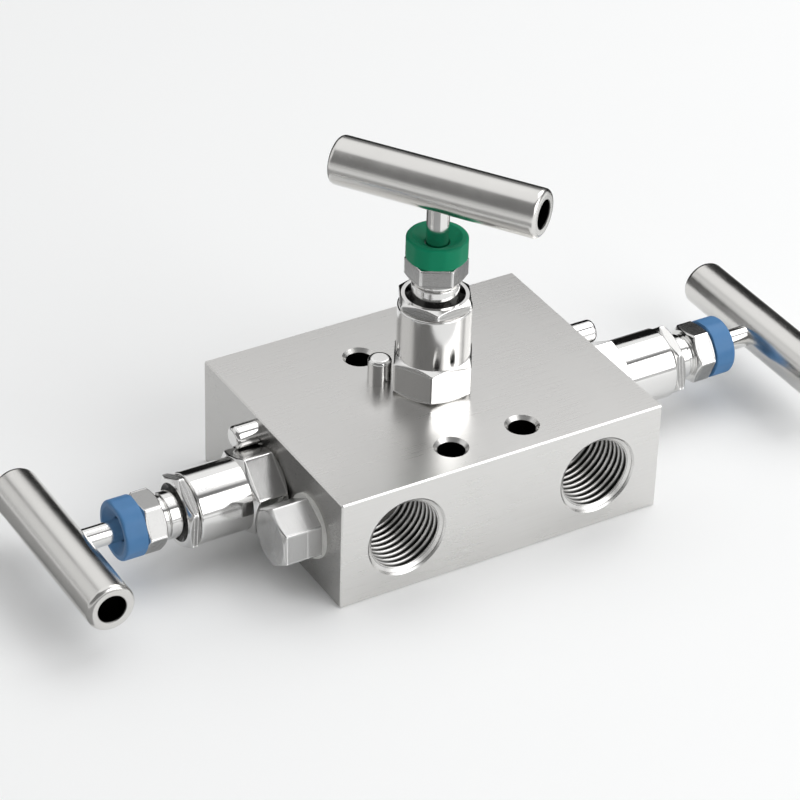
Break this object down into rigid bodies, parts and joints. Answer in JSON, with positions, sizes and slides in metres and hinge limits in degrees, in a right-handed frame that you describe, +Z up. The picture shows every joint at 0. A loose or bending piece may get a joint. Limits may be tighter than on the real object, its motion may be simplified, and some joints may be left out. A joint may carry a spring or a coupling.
{
  "type": "instrument valve manifold",
  "caption": "Stainless instrument manifold block with threaded ports, needle valves with cross-bar handles, lock pins and a vent plug.",
  "frame": {"origin": "centre of the bottom face of the manifold block", "axes": "+X along the valve and port row to the right valve, +Y from the instrument ports to the process ports, +Z up along the top valve"},
  "size_m": [0.2142, 0.07, 0.0921],
  "materials": {
    "block_steel": "satin brushed, fine grain along the length",
    "polished_steel": "bright turned and polished stainless steel",
    "handle_steel": "satin polished, with fine turning marks",
    "plug_steel": "satin machined stainless steel",
    "screw_steel": "dark oiled hardened steel",
    "cap_green": "satin moulded plastic, green",
    "cap_blue": "satin moulded plastic, blue",
    "packing": "white fluoropolymer packing",
    "seal": "white fluoropolymer seal ring"
  },
  "bodies": {
    "manifold": {"block": "block_steel", "vent_plug": "plug_steel", "vent_seal": "seal", "bonnet_top": "polished_steel", "bonnet_seal_top": "seal", "packing_washer_top": "polished_steel", "packing_ring_lower_top": "packing", "packing_ring_upper_top": "packing", "gland_top": "polished_steel", "packing_bolt_top": "polished_steel", "lock_nut_top": "polished_steel", "dust_cap_top": "cap_green", "lock_pin_top": "polished_steel", "bonnet_left": "polished_steel", "bonnet_seal_left": "seal", "packing_washer_left": "polished_steel", "packing_ring_lower_left": "packing", "packing_ring_upper_left": "packing", "gland_left": "polished_steel", "packing_bolt_left": "polished_steel", "lock_nut_left": "polished_steel", "dust_cap_left": "cap_blue", "lock_pin_left": "polished_steel", "bonnet_right": "polished_steel", "bonnet_seal_right": "seal", "packing_washer_right": "polished_steel", "packing_ring_lower_right": "packing", "packing_ring_upper_right": "packing", "gland_right": "polished_steel", "packing_bolt_right": "polished_steel", "lock_nut_right": "polished_steel", "dust_cap_right": "cap_blue", "lock_pin_right": "polished_steel"},
    "needle_top": {"needle_top": "polished_steel"},
    "stem_top": {"stem_top": "polished_steel", "handle_top": "handle_steel", "handle_screw_top": "screw_steel"},
    "needle_left": {"needle_left": "polished_steel"},
    "stem_left": {"stem_left": "polished_steel", "handle_left": "handle_steel", "handle_screw_left": "screw_steel"},
    "needle_right": {"needle_right": "polished_steel"},
    "stem_right": {"stem_right": "polished_steel", "handle_right": "handle_steel", "handle_screw_right": "screw_steel"}
  },
  "joints": [
    {"name": "needle_lift_top", "type": "slide", "parent": "manifold", "child": "needle_top", "axis": [0, 0, 1], "range_m": [0, 0.003]},
    {"name": "handle_turn_top", "type": "hinge", "parent": "needle_top", "child": "stem_top", "pos_m": [0, 0, 0.03], "axis": [0, 0, 1], "range_deg": [0, 1080]},
    {"name": "needle_lift_left", "type": "slide", "parent": "manifold", "child": "needle_left", "axis": [-1, 0, 0], "range_m": [0, 0.003]},
    {"name": "handle_turn_left", "type": "hinge", "parent": "needle_left", "child": "stem_left", "pos_m": [-0.045, 0, 0.015], "axis": [-1, 0, 0], "range_deg": [0, 1080]},
    {"name": "needle_lift_right", "type": "slide", "parent": "manifold", "child": "needle_right", "axis": [1, 0, 0], "range_m": [0, 0.003]},
    {"name": "handle_turn_right", "type": "hinge", "parent": "needle_right", "child": "stem_right", "pos_m": [0.045, 0, 0.015], "axis": [1, 0, 0], "range_deg": [0, 1080]}
  ],
  "couplings": [
    {"joint": "needle_lift_top", "follows": "handle_turn_top", "m_per_rad": 0.00015915},
    {"joint": "needle_lift_left", "follows": "handle_turn_left", "m_per_rad": 0.00015915},
    {"joint": "needle_lift_right", "follows": "handle_turn_right", "m_per_rad": 0.00015915}
  ]
}
